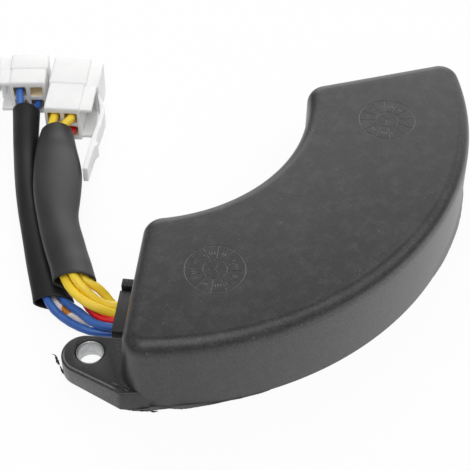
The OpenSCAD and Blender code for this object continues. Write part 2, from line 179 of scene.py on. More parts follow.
def skin(rings, closed, first):
    """Faces over a row of rings with the same number of points, capped where it isn't closed."""
    n = len(rings[0])
    m = len(rings)
    faces = []
    for k in range(m if closed else m - 1):
        a = k * n
        b = ((k + 1) % m) * n
        for i in range(n):
            j = (i + 1) % n
            faces.append((a + i, a + j, b + j, b + i))
    if not closed:
        strip = [((first + k) % n, (first + k + 1) % n, (first + n - 2 - k) % n,
                  (first + n - 1 - k) % n) for k in range(n // 2 - 1)]
        faces += [tuple(reversed(f)) for f in strip]
        faces += [tuple((m - 1) * n + i for i in f) for f in strip]
    return faces


def solid(name, rings, smooth_angle=35.0, closed=False, first=0):
    """A solid over a row of rings in millimetres. The caps' strips start at point number first."""
    points = [tuple(float(c) * MM for c in p) for ring in rings for p in ring]
    mesh = bpy.data.meshes.new(name)
    mesh.from_pydata(points, [], skin(rings, closed, first))
    mesh.validate()
    mesh.update()
    finish_shading(mesh, smooth_angle)
    return link(bpy.data.objects.new(name, mesh))


def join(name, objs, smooth_angle):
    """One object out of several, which are removed."""
    whole = bmesh.new()
    for o in objs:
        o.data.transform(o.matrix_world)
        whole.from_mesh(o.data)
    mesh = bpy.data.meshes.new(name)
    whole.to_mesh(mesh)
    whole.free()
    for o in objs:
        bpy.data.objects.remove(o)
    finish_shading(mesh, smooth_angle)
    return link(bpy.data.objects.new(name, mesh))


def mirror(obj):
    """Moves obj to the other side of the middle plane."""
    obj.data.transform(Matrix.Scale(-1, 4, (1, 0, 0)))
    obj.data.flip_normals()


def box(name, low, high, bevel=0.0, segments=2):
    """A box in millimetres with rounded edges."""
    bm = bmesh.new()
    bmesh.ops.create_cube(bm, size=1.0)
    low, high = np.array(low, float), np.array(high, float)
    for v in bm.verts:
        v.co = Vector((low + (np.array(v.co) + 0.5) * (high - low)) * MM)
    if bevel:
        bmesh.ops.bevel(bm, geom=list(bm.edges), offset=bevel * MM, segments=segments,
                        profile=0.5, affect="EDGES")
    mesh = bpy.data.meshes.new(name)
    bm.to_mesh(mesh)
    bm.free()
    finish_shading(mesh, 40)
    return link(bpy.data.objects.new(name, mesh))


def evaluated_mesh(obj):
    bpy.context.view_layer.update()
    return bpy.data.meshes.new_from_object(obj.evaluated_get(
        bpy.context.evaluated_depsgraph_get()))


def plate(name, rim, z0, z1, bevel, holes=(), segments=3):
    """A flat plate from its rim in millimetres, with rounded edges and holes."""
    curve = bpy.data.curves.new(name, "CURVE")
    curve.dimensions = "2D"
    curve.fill_mode = "BOTH"
    for line in (rim, *holes):
        spline = curve.splines.new("POLY")
        spline.points.add(len(line) - 1)
        for point, p in zip(spline.points, line):
            point.co = (p[0] * MM, p[1] * MM, 0, 1)
        spline.use_cyclic_u = True
    curve.extrude = (z1 - z0) / 2 * MM - bevel * MM
    curve.bevel_depth = bevel * MM
    curve.bevel_resolution = segments
    curve.offset = -bevel * MM
    maker = link(bpy.data.objects.new(name, curve))
    mesh = evaluated_mesh(maker)
    bpy.data.objects.remove(maker)
    mesh.transform(Matrix.Translation((0, 0, (z0 + z1) / 2 * MM)))
    bm = bmesh.new()
    bm.from_mesh(mesh)
    bmesh.ops.remove_doubles(bm, verts=bm.verts, dist=1e-6)
    bm.to_mesh(mesh)
    bm.free()
    finish_shading(mesh, 35)
    return link(bpy.data.objects.new(name, mesh))


def combine(obj, others, operation):
    """Cuts the others out of obj, or joins them to it as one closed solid, and removes them."""
    for other in others:
        step = obj.modifiers.new("step", "BOOLEAN")
        step.operation = operation
        step.solver = "EXACT"
        step.object = other
    mesh = evaluated_mesh(obj)
    obj.modifiers.clear()
    obj.data = mesh
    for other in others:
        bpy.data.objects.remove(other)


def smooth_line(points, count):
    """Evenly spaced points on a smooth curve through the given ones."""
    steps = 24
    p = np.array(points, float)
    p = np.vstack([2 * p[0] - p[1], p, 2 * p[-1] - p[-2]])
    out = []
    for i in range(1, len(p) - 2):
        p0, p1, p2, p3 = p[i - 1], p[i], p[i + 1], p[i + 2]
        t1 = np.linalg.norm((p1 - p0)[:3]) ** 0.5
        t2 = t1 + np.linalg.norm((p2 - p1)[:3]) ** 0.5
        t3 = t2 + np.linalg.norm((p3 - p2)[:3]) ** 0.5
        for t in np.linspace(t1, t2, steps, endpoint=False):
            a1 = (t1 - t) / t1 * p0 + t / t1 * p1
            a2 = (t2 - t) / (t2 - t1) * p1 + (t - t1) / (t2 - t1) * p2
            a3 = (t3 - t) / (t3 - t2) * p2 + (t - t2) / (t3 - t2) * p3
            b1 = (t2 - t) / t2 * a1 + t / t2 * a2
            b2 = (t3 - t) / (t3 - t1) * a2 + (t - t1) / (t3 - t1) * a3
            out.append((t2 - t) / (t2 - t1) * b1 + (t - t1) / (t2 - t1) * b2)
    out = np.array(out + [p[-2]])
    s = np.concatenate([[0], np.cumsum(np.linalg.norm(np.diff(out[:, :3], axis=0), axis=1))])
    at = np.linspace(0, s[-1], count)
    return np.array([np.interp(at, s, out[:, k]) for k in range(out.shape[1])]).T


def unit(v):
    return v / np.linalg.norm(v)


def heading(line, i):
    """Direction of a line of points at one of them."""
    n = len(line) - 1
    if i == 0:
        return unit(line[1] - line[0])
    if i == n:
        return unit(line[n] - line[n - 1])
    return unit(unit(line[i] - line[i - 1]) + unit(line[i + 1] - line[i]))


def to_right(d):
    return unit(np.cross(d, [0, 0, 1]))


# Materials

class Nodes:
    """The nodes of a material or world, with short calls to add and join them."""

    def __init__(self, owner, output, coord):
        self.owner = owner
        owner.use_nodes = True
        self.tree = owner.node_tree
        self.tree.nodes.clear()
        self.surface = self.add(output).inputs["Surface"]
        self.coord = self.add("ShaderNodeTexCoord").outputs[coord]

    def add(self, kind, **values):
        node = self.tree.nodes.new(kind)
        for key, value in values.items():
            setattr(node, key, value)
        return node

    def feed(self, socket, value):
        """Links an output to the socket, or sets the socket's own value."""
        if isinstance(value, bpy.types.NodeSocket):
            self.tree.links.new(value, socket)
        else:
            socket.default_value = value

    def put(self, node, **inputs):
        for key, value in inputs.items():
            self.feed(node.inputs[key.replace("_", " ")], value)
        return node

    def split(self, vector):
        node = self.add("ShaderNodeSeparateXYZ")
        self.feed(node.inputs[0], vector)
        return node.outputs

    def vector_math(self, operation, a, b, output):
        node = self.add("ShaderNodeVectorMath", operation=operation)
        self.feed(node.inputs[0], a)
        self.feed(node.inputs[1], b)
        return node.outputs[output]

    def noise(self, scale, detail=2.0, roughness=0.5, coord=None):
        node = self.add("ShaderNodeTexNoise")
        self.put(node, Vector=coord or self.coord, Scale=scale, Detail=detail,
                 Roughness=roughness)
        return node.outputs["Fac"]

    def math(self, operation, a, b=0.0):
        node = self.add("ShaderNodeMath", operation=operation)
        for socket, value in zip(node.inputs, (a, b)):
            self.feed(socket, value)
        return node.outputs["Value"]

    def times(self, a, b):
        return self.math("MULTIPLY", a, b)

    def between(self, value, low, high, to_low=0.0, to_high=1.0):
        node = self.add("ShaderNodeMapRange", interpolation_type="SMOOTHSTEP")
        self.put(node, Value=value, From_Min=low, From_Max=high, To_Min=to_low, To_Max=to_high)
        return node.outputs["Result"]

    def blend(self, factor, a, b):
        node = self.add("ShaderNodeMix", data_type="RGBA")
        self.feed(node.inputs[0], factor)
        for socket, color in ((node.inputs[6], a), (node.inputs[7], b)):
            self.feed(socket, (*color, 1.0) if isinstance(color, tuple) else color)
        return node.outputs[2]

    def bump(self, height, strength, distance, normal=None):
        node = self.add("ShaderNodeBump")
        self.put(node, Height=height, Strength=strength, Distance=distance)
        if normal is not None:
            self.put(node, Normal=normal)
        return node.outputs["Normal"]

    def shader(self, **inputs):
        node = self.put(self.add("ShaderNodeBsdfPrincipled"), **inputs)
        self.feed(self.surface, node.outputs["BSDF"])
        return self.owner

    def mix(self, factor, a, b):
        """Surface made of two shaders."""
        node = self.add("ShaderNodeMixShader")
        for socket, value in zip(node.inputs, (factor, a.outputs[0], b.outputs[0])):
            self.feed(socket, value)
        self.feed(self.surface, node.outputs["Shader"])
        return self.owner


def material_nodes(name):
    return Nodes(bpy.data.materials.new(name), "ShaderNodeOutputMaterial", "Object")


def tone(color, factor):
    return tuple(min(1.0, c * factor) for c in color)


def grey(value, blue=1.0):
    return (value, value, value * blue)


def plain_material(name, color, rough=0.45, vary=0.12, grain=900.0, bump=0.15, metallic=0.0):
    """A material with mottled colour, uneven roughness and a fine grain."""
    n = material_nodes(name)
    patch = n.between(n.noise(120.0, 3.0), 0.35, 0.65)
    speck = n.noise(grain, 2.0)
    base = n.blend(patch, tone(color, 1 - vary), tone(color, 1 + vary))
    return n.shader(Base_Color=base, Metallic=metallic,
                    Roughness=n.between(speck, 0.3, 0.7, rough - 0.06, rough + 0.06),
                    Normal=n.bump(speck, bump, 0.00008))


def housing_material():
    """Spark-textured black plastic, with painted light: walls paler to the right as a painted
    reflection, rubbed edges partly a painted highlight, painted light and shade on the ears, and
    dial lines painted pale as highlights.
    """
    n = material_nodes("housing_plastic")
    x, y, z = n.split(n.coord)
    upward = n.split(n.add("ShaderNodeNewGeometry").outputs["Normal"])["Z"]
    level = n.between(upward, 0.35, 0.8)
    wide = n.noise(38.0, 4.0, 0.6)
    cloud = n.noise(330.0, 5.0, 0.7)
    spark = n.noise(2600.0, 3.0, 0.7)
    pits = n.add("ShaderNodeTexVoronoi")
    n.put(pits, Vector=n.coord, Scale=3300.0)
    base = n.blend(n.between(wide, 0.3, 0.7), (0.009, 0.0091, 0.0093), (0.015, 0.0152, 0.0156))
    base = n.blend(n.between(cloud, 0.42, 0.7, 0.0, 0.75), base, (0.031, 0.0313, 0.032))

    # Painted reflection: the walls are paler than the tops, more so to the right, standing in for
    # grazing reflection
    painted_wall_sheen = n.times(n.between(level, 0.0, 1.0, 1.0, 0.0), n.between(x, -85 * MM, 14 * MM))
    base = n.blend(n.times(painted_wall_sheen, 0.95), base, (0.11, 0.1103, 0.111))

    # Ears, by the distance out of the end walls: painted light on the sides, painted shade on the
    # tops, a painted highlight on the lips
    out = n.math("ADD", n.times(n.math("ABSOLUTE", x), -OUT[0]), n.times(y, OUT[1]))
    out = n.math("ADD", out, (SETBACK - ARC_Y * OUT[1]) * MM)
    on_ear = n.times(n.between(out, -0.4 * MM, 1.2 * MM),
                     n.between(z, 5.5 * MM, 7.0 * MM, 1.0, 0.0))
    painted_ear_light_shade = n.blend(level, (0.095, 0.0953, 0.096), (0.011, 0.011, 0.0115))
    base = n.blend(on_ear, base, painted_ear_light_shade)
    painted_lip_highlight = n.times(n.between(out, 0.8 * MM, 1.3 * MM),
                     n.between(z, (EAR_T + 0.08) * MM, (EAR_T + 0.3) * MM))
    base = n.blend(painted_lip_highlight, base, grey(0.16))

    # Rubbed grain on the rounding of the top edge: partly real wear, partly a painted highlight
    edge = n.times(n.between(upward, 0.5, 0.72), n.between(upward, 0.93, 0.995, 1.0, 0.0))
    worn = n.times(edge, n.between(n.noise(1500.0, 3.0, 0.75), 0.42, 0.72, 0.1, 0.5))
    base = n.blend(worn, base, grey(0.075))

    # Painted highlight: the floors of the dials' cut lines are pale, standing in for lit raised
    # lines
    painted_groove_highlight = n.times(n.between(z, (HEIGHT - 0.2) * MM, (HEIGHT - 0.15) * MM),
                     n.between(z, (HEIGHT - 0.055) * MM, (HEIGHT - 0.03) * MM, 1.0, 0.0))
    painted_groove_highlight = n.times(painted_groove_highlight, n.between(upward, 0.992, 0.998))
    base = n.blend(painted_groove_highlight, base, grey(0.12))

    # Grain and specks
    shade = n.add("ShaderNodeVectorMath", operation="SCALE")
    n.feed(shade.inputs[0], base)
    n.feed(shade.inputs["Scale"], n.between(spark, 0.36, 0.64, 0.7, 1.32))
    speck = n.times(n.between(n.noise(1900.0, 2.0, 0.8), 0.62, 0.72),
                    n.between(n.noise(260.0, 2.0), 0.42, 0.66))
    base = n.blend(n.times(speck, 0.7), shade.outputs["Vector"], grey(0.17))
    fine = n.bump(spark, 0.4, 0.00005)
    fine = n.bump(pits.outputs["Distance"], 0.24, 0.00004, fine)
    fine = n.bump(cloud, 0.2, 0.0001, fine)
    fine = n.bump(wide, 0.3, 0.0002, fine)
    return n.shader(Base_Color=base, Roughness=n.between(spark, 0.3, 0.7, 0.30, 0.43),
                    Specular_IOR_Level=0.5, Normal=fine)


def steel_material():
    """Turned steel with fine lines around the axis."""
    n = material_nodes("bush_steel")
    stretch = n.put(n.add("ShaderNodeMapping"), Vector=n.coord, Scale=(4.0, 4.0, 40.0))
    drawn = n.noise(90.0, 4.0, 0.6, stretch.outputs["Vector"])
    fine = n.noise(1600.0, 2.0)
    base = n.blend(n.between(drawn, 0.3, 0.7), (0.42, 0.425, 0.43), (0.56, 0.565, 0.57))
    return n.shader(Base_Color=base, Metallic=1.0,
                    Roughness=n.between(fine, 0.3, 0.7, 0.36, 0.5),
                    Normal=n.bump(drawn, 0.2, 0.00005))


def insulation(name, color, shade, dirt=0.10, glow=0.08, band=None):
    """Extruded insulation: soft gloss, faint stains, and a band of another colour if given."""
    n = material_nodes(name)
    patch = n.noise(160.0, 3.0, 0.6)
    fine = n.noise(1500.0, 2.0)
    base = n.blend(n.between(patch, 0.35, 0.7), color, shade)
    stain = n.between(n.noise(700.0, 3.0), 0.62, 0.8, 0.0, dirt)
    base = n.blend(stain, base, (0.05, 0.045, 0.04))
    if band:
        place, reach, band_color = band
        far = n.vector_math("DISTANCE", n.coord, Vector(place) * MM, "Value")
        on_band = n.between(far, reach * MM, reach * 1.25 * MM, 1.0, 0.0)
        base = n.blend(on_band, base, band_color)
    return n.shader(Base_Color=base, Roughness=n.between(fine, 0.3, 0.7, 0.30, 0.44),
                    Specular_IOR_Level=0.5, Subsurface_Weight=glow,
                    Subsurface_Radius=(1.0, 0.9, 0.6), Subsurface_Scale=0.001,
                    Normal=n.bump(fine, 0.12, 0.00006))


def sleeve_material(name, low, high, gloss):
    """Soft vinyl, dull where it has been rubbed, with a little dust."""
    n = material_nodes(name)
    rub = n.noise(70.0, 4.0, 0.65)
    fine = n.noise(1400.0, 3.0, 0.6)
    dust = n.between(n.noise(900.0, 2.0, 0.7), 0.68, 0.8)
    base = n.blend(n.between(rub, 0.3, 0.75), grey(low, 1.02), grey(high, 1.02))
    base = n.blend(n.times(dust, 0.2), base, grey(0.12))
    return n.shader(Base_Color=base, Roughness=n.between(rub, 0.3, 0.7, 0.36, 0.5),
                    Specular_IOR_Level=gloss,
                    Normal=n.bump(fine, 0.2, 0.00006, n.bump(rub, 0.25, 0.0003)))


def nylon_material(name, plug):
    """Natural nylon: milky, lets light through, with a warm tint painted inside the chambers
    standing in for light from the brass.
    """
    n = material_nodes(name)
    cloud = n.noise(140.0, 3.0)
    fine = n.noise(1200.0, 2.0)
    base = n.blend(n.between(cloud, 0.35, 0.65), (0.9, 0.9, 0.895), (0.93, 0.93, 0.925))
    local = n.add("ShaderNodeMapping", vector_type="TEXTURE")
    n.put(local, Vector=n.coord, Rotation=(0, 0, math.radians(plug[1])),
          Location=(plug[0][0] * MM, plug[0][1] * MM, PLUG_MIDDLE * MM))
    x, y, z = n.split(local.outputs["Vector"])
    inside = n.times(n.between(x, 0.1 * MM, 0.5 * MM),
                     n.between(x, 4.5 * MM, 7.0 * MM, 1.0, 0.0))
    reach = (PITCH / 2 + CHAMBER / 2) * MM
    for axis in (y, z):
        across = n.math("ABSOLUTE", axis)
        inside = n.times(inside, n.between(across, reach, reach + 0.25 * MM, 1.0, 0.0))
    # Painted light: the chamber walls are tinted warm, standing in for the brass's light through
    # the nylon
    base = n.blend(n.times(inside, 0.6), base, (0.95, 0.72, 0.28))
    return n.shader(Base_Color=base, Roughness=n.between(fine, 0.3, 0.7, 0.4, 0.55), IOR=1.45,
                    Specular_IOR_Level=0.3, Transmission_Weight=0.04, Subsurface_Weight=0.3,
                    Subsurface_Radius=(1.0, 1.0, 0.97), Subsurface_Scale=0.0015,
                    Normal=n.bump(fine, 0.1, 0.00005))


# Band on the white lead: middle, reach and colour
ORANGE_BAND = ((-49.65, 31.9, 1.5), 1.4, (0.58, 0.2, 0.01))

# Plain materials: colour, roughness, variation, scale of the grain, bump and metal
PLAIN = {
    "potting_compound": ((0.012, 0.012, 0.013), 0.36, 0.25, 420.0, 0.35),
    "board": ((0.03, 0.12, 0.05), 0.4, 0.2, 800.0, 0.1),
    "sink_aluminium": ((0.7, 0.71, 0.73), 0.35, 0.06, 1500.0, 0.15, 1.0),
    "component_black": ((0.018, 0.018, 0.019), 0.5, 0.2, 1500.0),
    "screw_steel": ((0.65, 0.66, 0.68), 0.32, 0.08, 1500.0, 0.1, 1.0),
    "capacitor_sleeve": ((0.02, 0.03, 0.09), 0.3, 0.15),
    "film_coating": ((0.42, 0.11, 0.03), 0.3, 0.15),
    "resistor_coating": ((0.28, 0.36, 0.4), 0.55, 0.12),
    "resistor_body": ((0.55, 0.38, 0.18), 0.4, 0.12),
    "guide_plastic": ((0.017, 0.017, 0.018), 0.45, 0.2, 1300.0, 0.2),
    "terminal_brass": ((0.8, 0.55, 0.16), 0.3, 0.08, 1500.0, 0.1, 1.0),
}

# Insulation: colour, darker shade, dirt, glow and band
INSULATION = {
    "yellow_insulation": ((1.0, 0.72, 0.05), (0.98, 0.65, 0.035), 0.03, 0.3),
    "red_insulation": ((0.82, 0.008, 0.014), (0.68, 0.005, 0.01), 0.05),
    "blue_insulation": ((0.045, 0.16, 0.52), (0.03, 0.11, 0.4)),
    "white_insulation": ((0.97, 0.86, 0.82), (0.92, 0.81, 0.77), 0.03, 0.3, ORANGE_BAND),
}

MAT = {"housing_plastic": housing_material(), "bush_steel": steel_material()}
for slot_name, look in PLAIN.items():
    MAT[slot_name] = plain_material(slot_name, *look)
for slot_name, look in INSULATION.items():
    MAT[slot_name] = insulation(slot_name, *look)


def dress(obj, slot, material=None):
    obj.data.materials.clear()
    obj.data.materials.append(material or MAT[slot])
    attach(obj, "root")
    return obj


# Routes of the leads, the same points as in the solids, in millimetres

# Stations of the sleeves: middle, half width and half height
FRONT_STATIONS = [
    ((-45.65, 32.8, 7.2), 4.5, 2.9), ((-40.3, 41.4, 6.9), 4.7, 2.8),
    ((-34.9, 49.25, 6.7), 4.75, 2.8), ((-28.7, 56, 6.4), 5.65, 2.8),
    ((-24, 60.75, 6.1), 5.85, 2.8), ((-17, 68.5, 5.6), 4.9, 3), ((-12.65, 72.7, 5.3), 3.9, 3.4)]
REAR_STATIONS = [
    ((-50.65, 35.1, 2.5), 4.3, 2.4), ((-45.55, 43.5, 2.5), 3.85, 2.4),
    ((-38.45, 53.85, 2.5), 3.3, 2.4), ((-30.55, 64.5, 2.6), 3.1, 2.5),
    ((-20.75, 75.7, 3), 3.1, 2.8), ((-11.55, 85.05, 4), 3.5, 3.3)]

# Each plug: middle of its mouth, direction, length, side of the latch
FRONT_PLUG = ((-9.8, 73.4), 36, 19.5, -1)
REAR_PLUG = ((-8.6, 87), 41, 11, 1)

# Each lead: slot, diameter, seat in the outlet, turns before the sleeve, stations of the sleeve,
# seats inside it and at its end, plug, and contact in the plug
LEADS = {
    "yellow_wire_1": ("yellow_insulation", 2.1, (2.1, 1.1),
                      ((-42.15, 27.25, 3.4), (-43, 28.9, 5.7), (-43.9, 31.7, 7.15)),
                      FRONT_STATIONS, (2.1, -0.1), (0.9, 0.9), FRONT_PLUG, (-1, 1)),
    "yellow_wire_2": ("yellow_insulation", 2.1, (3, 3.1),
                      ((-44.6, 25.6, 3.8), (-45.8, 28.5, 6.1), (-45.7, 32.85, 8.35)),
                      FRONT_STATIONS, (0, 0.95), (-1.3, 1.2), FRONT_PLUG, (1, 1)),
    "yellow_wire_3": ("yellow_insulation", 2.1, (5.2, 3.1),
                      ((-46.95, 25.05, 5.1), (-47.95, 28.45, 6.1), (-47.25, 33.8, 6.9)),
                      FRONT_STATIONS, (-2.1, -0.1), (-1.5, -1.2), FRONT_PLUG, (1, -1)),
    "red_wire": ("red_insulation", 1.7, (7.2, 3),
                 ((-47.2, 23.3, 2.7), (-47.35, 27.2, 3.2), (-45.5, 32.7, 5.85)),
                 FRONT_STATIONS, (0, -1.25), (1.1, -1.1), FRONT_PLUG, (-1, -1)),
    "blue_wire_1": ("blue_insulation", 1.9, (9.1, 3.1),
                    ((-49.3, 23.55, 2.9), (-49.15, 28.4, 2.85), (-48.85, 34.05, 2.85)),
                    REAR_STATIONS, (1.15, 0.45), (1.3, -0.9), REAR_PLUG, (-1, -1)),
    "blue_wire_2": ("blue_insulation", 1.9, (9.2, 1.05),
                    ((-50.7, 23.9, 1.3), (-52.1, 30.35, 1.65), (-51.75, 35.75, 2.95)),
                    REAR_STATIONS, (-1.15, 0.45), (-1.3, 1.1), REAR_PLUG, (1, 1)),
    "white_wire": ("white_insulation", 1.7, (5.6, 1),
                   ((-48.9, 25.75, 0.95), (-49.55, 28.55, 0.9), (-50.25, 34.85, 1.65)),
                   REAR_STATIONS, (0, -1), (-1.2, -1.1), REAR_PLUG, (1, -1)),
}
INSIDE_STATIONS = (2, 3, 4)
LEAD_POINTS = 40
FLOOR_GAP = 0.02


def station_point(stations, i, seat):
    line = np.array([s[0] for s in stations], float)
    return line[i] + seat[0] * to_right(heading(line, i)) + np.array([0, 0, seat[1]])


def plug_point(plug, depth, column, row):
    p = (np.array(plug[0]) + polar(depth, plug[1]) + polar(column * PITCH / 2, plug[1] + 90))
    return np.array([p[0], p[1], PLUG_MIDDLE + row * PITCH / 2])


def lead_route(seat, turns, stations, inside, last_seat, plug, contact):
    return np.array(
        [end_point(OUTLET_START + seat[0], -WALL, seat[1]),
         end_point(OUTLET_START + seat[0], OUTLET_REACH + OUTLET_BEND, seat[1])]
        + [np.array(p, float) for p in turns]
        + [station_point(stations, i, inside) for i in INSIDE_STATIONS]
        + [station_point(stations, len(stations) - 1, last_seat)]
        + [plug_point(plug, depth, *contact) for depth in (-0.5, WIRE_DEPTH)])


def add_lead(name):
    slot, d, *route = LEADS[name]
    line = smooth_line(lead_route(*route), LEAD_POINTS)
    line[:, 2] = np.maximum(line[:, 2], d / 2 + FLOOR_GAP)
    curve = bpy.data.curves.new(name + "_line", "CURVE")
    curve.dimensions = "3D"
    curve.bevel_depth = d / 2 * MM
    curve.bevel_resolution = 6
    curve.use_fill_caps = True
    spline = curve.splines.new("POLY")
    spline.points.add(len(line) - 1)
    for point, p in zip(spline.points, line):
        point.co = (*(p * MM), 1)
    spline.use_smooth = True
    lead = link(bpy.data.objects.new(name + "_line", curve))
    dress(lead, slot)
    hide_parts(name)
    length = float(np.linalg.norm(np.diff(line, axis=0), axis=1).sum()) * MM
    return lead, line[0] * MM, length, d * MM


# Sleeves

SLEEVE_ROWS = 90
SLEEVE_SIDES = 64
SLEEVE_WALL = 0.5
SLEEVE_FOLDS = 26
FOLD_FADE = 12
MOUTH_SHARE = 0.15
RIM_LIFT = 0.1


def add_sleeve(name, stations, slant, skew, flare, seed, vinyl):
    """Soft sleeve pressed flat, with soft folds, a thin wall and slanting open mouths."""
    rows = smooth_line([(*place, wide, high) for place, wide, high in stations], SLEEVE_ROWS)
    line = rows[:, :3]
    up = np.array([0, 0, 1.0])
    rng = np.random.default_rng(seed)
    folds = [(rng.uniform(0.05, 0.95), rng.uniform(0, 2 * math.pi), rng.uniform(0.03, 0.08),
              rng.uniform(0.35, 0.9), rng.uniform(0.05, 0.16)) for _ in range(SLEEVE_FOLDS)]
    outer, inner = [], []
    for i, row in enumerate(rows):
        t = i / (len(rows) - 1)
        ahead = heading(line, i)
        side = to_right(ahead)
        first_mouth = max(0.0, 1 - t / MOUTH_SHARE)
        last_mouth = max(0.0, 1 - (1 - t) / MOUTH_SHARE)
        ring_out, ring_in = [], []
        for k in range(SLEEVE_SIDES):
            a = 2 * math.pi * k / SLEEVE_SIDES
            c, q = math.cos(a), math.sin(a)
            puff = sum(size * math.exp(-((t - at) / reach) ** 2)
                       * math.exp(-((math.remainder(a - around, 2 * math.pi)) / spread) ** 2)
                       for at, around, reach, spread, size in folds)
            puff *= min(1.0, FOLD_FADE * t, FOLD_FADE * (1 - t))
            lean = (first_mouth * (slant[0] * c + skew[0] * q)
                    - last_mouth * (slant[1] * c + skew[1] * q))
            flat = 1 - 0.05 * math.sin(2 * a) ** 2
            for ring, less in ((ring_out, 0.0), (ring_in, SLEEVE_WALL)):
                w, h = row[3] - less + 0.4 * puff, row[4] - less + puff
                if q < 0:
                    w += flare * first_mouth ** 2
                place = row[:3] + flat * (h * c * up + w * q * side) + lean * ahead
                ring.append(np.maximum(place, (-np.inf, -np.inf, FLOOR_GAP + less)))
        outer.append(ring_out)
        inner.append(ring_in)

    def rim(ring_from, ring_to, away):
        return [[(1 - u) * p + u * r + away * RIM_LIFT for p, r in zip(ring_from, ring_to)]
                for u in (0.2, 0.8)]

    first = rim(inner[0], outer[0], -heading(line, 0))
    last = rim(outer[-1], inner[-1], heading(line, len(line) - 1))
    whole = solid(name + "_soft", outer + last + inner[::-1] + first, 50, closed=True)
    return dress(whole, "sleeve_vinyl", vinyl)


# Plugs, each drawn from its mouth along x

HOOD_SHARE = 0.48
HOOD_PROUD = 0.3
RAIL = 1.2
LATCH_EDGE = 7.9
ARM_SIDE = 3.1
ARM = [(7.4, 9.0), (5.2, 9.9), (2.6, 10.3), (-1.7, 10.1), (-6.0, 9.6), (-7.4, 9.6), (-8.6, 10.3),
       (-9.8, 9.6), (-17.5, 9.0), (-17.5, 7.8), (-6.0, 8.4), (-1.7, 8.9), (2.6, 9.1), (5.2, 8.7),
       (7.4, 7.9)]


def plug_frame(plug):
    return Matrix.Translation((plug[0][0] * MM, plug[0][1] * MM, 0)) @ turned(plug[1])


def add_plug(name, plug):
    """Latching plug: chambered body, stepped hood with side walls, and the sprung arm."""
    length, latch = plug[2], plug[3]
    top = 2 * PLUG_MIDDLE
    hood = HOOD_SHARE * length
    edge = PLUG_HALF - 0.5

    def piece(low, high, bevel):
        y0, y1 = (low[1], high[1]) if latch > 0 else (-high[1], -low[1])
        return box("piece", (low[0], y0, low[2]), (high[0], y1, high[2]), bevel, 3)

    body = box("body", (0, -PLUG_HALF, 0), (length - 0.4, PLUG_HALF, top), 0.5, 3)
    pieces = [box("hood", (hood, -PLUG_HALF - HOOD_PROUD, 0.02),
                  (length, PLUG_HALF + HOOD_PROUD, top + HOOD_PROUD), 0.6, 4),
              piece((hood + 0.07, LATCH_EDGE - RAIL, 0.55),
                    (length - 0.58, LATCH_EDGE - 0.02, top - 0.55), 0.35)]
    for z in (0.5, top - 0.5 - RAIL):
        pieces.append(piece((0.5, edge, z + 0.03), (hood + 0.5, edge + 3.4, z + 1.17), 0.3))
        pieces.append(piece((hood, edge, z), (length - 0.5, LATCH_EDGE, z + RAIL), 0.32))
    arm = [(hood + 0.5, LATCH_EDGE - 0.6), (hood + 0.5, LATCH_EDGE - 0.05)] + ARM
    pieces.append(plate("arm", [(x, latch * y) for x, y in arm], ARM_SIDE, top - ARM_SIDE, 0.2))
    combine(body, pieces, "UNION")
    half = CHAMBER / 2
    cutters = []
    for column in (-1, 1):
        for row in (-1, 1):
            y = column * PITCH / 2
            z = PLUG_MIDDLE + row * PITCH / 2
            cutters.append(box("cut", (-0.5, y - half, z - half),
                               (length + 0.5, y + half, z + half), 0.2))
    combine(body, cutters, "DIFFERENCE")
    whole = join(name + "_moulding", [body], 40)
    whole.data.transform(plug_frame(plug))
    dress(whole, "plug_nylon", nylon_material(name + "_nylon", plug))
    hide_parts(name)
    return whole


front_sleeve = add_sleeve("front_sleeve", FRONT_STATIONS, (0.3, 0.3), (-1.25, 0.0), 0.5, 11,
                          sleeve_material("front_vinyl", 0.018, 0.031, 0.45))
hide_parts("front_sleeve")
rear_sleeve = add_sleeve("rear_sleeve", REAR_STATIONS, (0.2, 0.3), (-1.3, 0.5), 0.3, 5,
                         sleeve_material("rear_vinyl", 0.007, 0.013, 0.3))
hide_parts("rear_sleeve")
front_plug = add_plug("front_plug", FRONT_PLUG)
rear_plug = add_plug("rear_plug", REAR_PLUG)
for lead_name in LEADS:
    lead, start, length, diameter = add_lead(lead_name)


# Housing

def outline(n_arc, n_corner):
    """Points of the crescent and their outward directions, counter-clockwise."""
    def sweep(a0, a1, n):
        return [a0 + (a1 - a0) * i / n for i in range(n)]

    def corner(centre, a0, a1):
        return [(centre + polar(EDGE_R, a), polar(1, a)) for a in sweep(a0, a1, n_corner)]

    flip = np.array([-1, 1])
    pairs = [(polar(OUTER_R, a), polar(1, a))
             for a in sweep(OUTER_START, 540 - OUTER_START, n_arc)]
    pairs += corner(OUTER_CORNER * flip, 180 - OUTER_START, HALF_ANGLE)
    pairs += corner(INNER_CORNER * flip, HALF_ANGLE, 180 - INNER_START)
    pairs += [(np.array([0, INNER_SHIFT]) - polar(INNER_R, a), polar(1, a))
              for a in sweep(180 - INNER_START, INNER_START, n_arc)]
    pairs += corner(INNER_CORNER, INNER_START, END_ANGLE)
    pairs += corner(OUTER_CORNER, END_ANGLE, OUTER_START)
    return np.array([p for p, _ in pairs]), np.array([n for _, n in pairs])


INSIDE_R = 1.2
FOOT_EDGE = 0.15
ROUND_STEPS = 14


